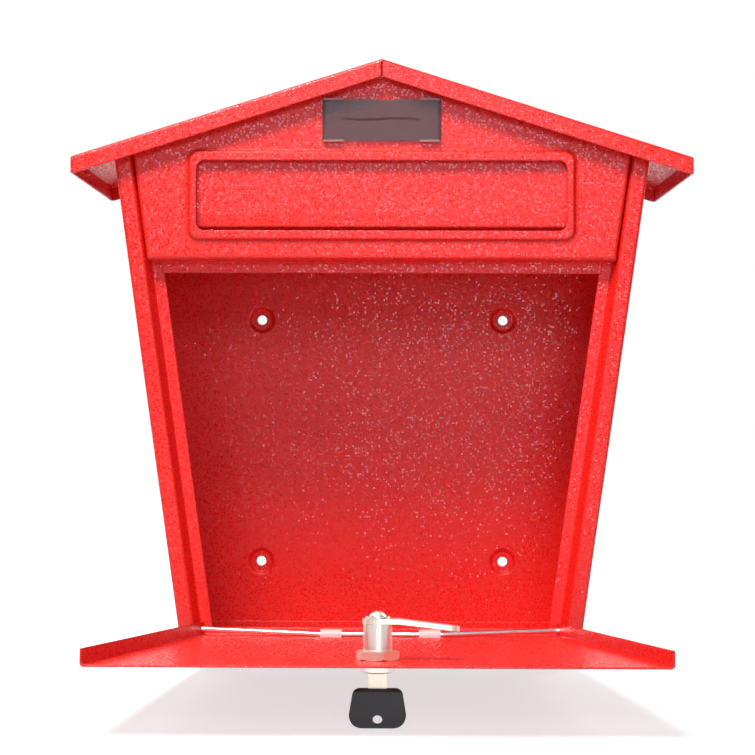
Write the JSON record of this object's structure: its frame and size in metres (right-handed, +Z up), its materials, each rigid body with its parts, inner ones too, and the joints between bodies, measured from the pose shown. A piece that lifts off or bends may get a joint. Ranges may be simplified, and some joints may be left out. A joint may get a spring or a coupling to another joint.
{
  "type": "wall letter box",
  "caption": "Sheet steel wall letter box with a gabled roof, posting flap, name plate, drop-down locking door and key.",
  "frame": {"origin": "centre of the four wall screw holes, on the wall plane", "axes": "+X to the right seen from the front, +Y into the wall, +Z up"},
  "size_m": [0.37, 0.3472, 0.3623],
  "materials": {
    "red_coat": "glossy fine-textured red powder coat",
    "zinc_steel": "bright zinc plate",
    "lock_chrome": "bright nickel plate",
    "wafer_brass": "plain",
    "clear_plastic": "clear, glossy",
    "nylon": "milky, translucent",
    "black_plastic": "satin"
  },
  "bodies": {
    "case": {"case_shell": "red_coat", "floor_panel": "red_coat", "roof": "red_coat", "front_panel": "red_coat", "flap_pin": "zinc_steel", "name_plate_holder": "clear_plastic", "name_plate_window": "clear_plastic"},
    "flap": {"slot_flap": "red_coat"},
    "door": {"door": "red_coat", "hinge_wire": "zinc_steel", "wire_clip_left": "nylon", "wire_clip_right": "nylon", "lock_housing": "lock_chrome", "lock_nut": "zinc_steel"},
    "lock_core": {"lock_plug": "lock_chrome", "lock_wafers": "wafer_brass", "lock_cam": "zinc_steel", "cam_washer": "zinc_steel", "cam_screw": "zinc_steel"},
    "key": {"key_blade": "lock_chrome", "key_head": "black_plastic"}
  },
  "joints": [
    {"name": "door_hinge", "type": "hinge", "parent": "case", "child": "door", "pos_m": [0, -0.1275, -0.11], "axis": [1, 0, 0], "range_deg": [-85.4, 28.6]},
    {"name": "flap_hinge", "type": "hinge", "parent": "case", "child": "flap", "pos_m": [0, -0.12859, 0.18111], "axis": [1, 0, 0], "range_deg": [0, 60]},
    {"name": "lock_turn", "type": "hinge", "parent": "door", "child": "lock_core", "pos_m": [0, -0.31127, -0.09973], "axis": [0, -0.0802, -0.9968], "range_deg": [0, 90]},
    {"name": "key_slide", "type": "slide", "parent": "lock_core", "child": "key", "axis": [0, -0.0802, -0.9968], "range_m": [0, 0.022]}
  ]
}
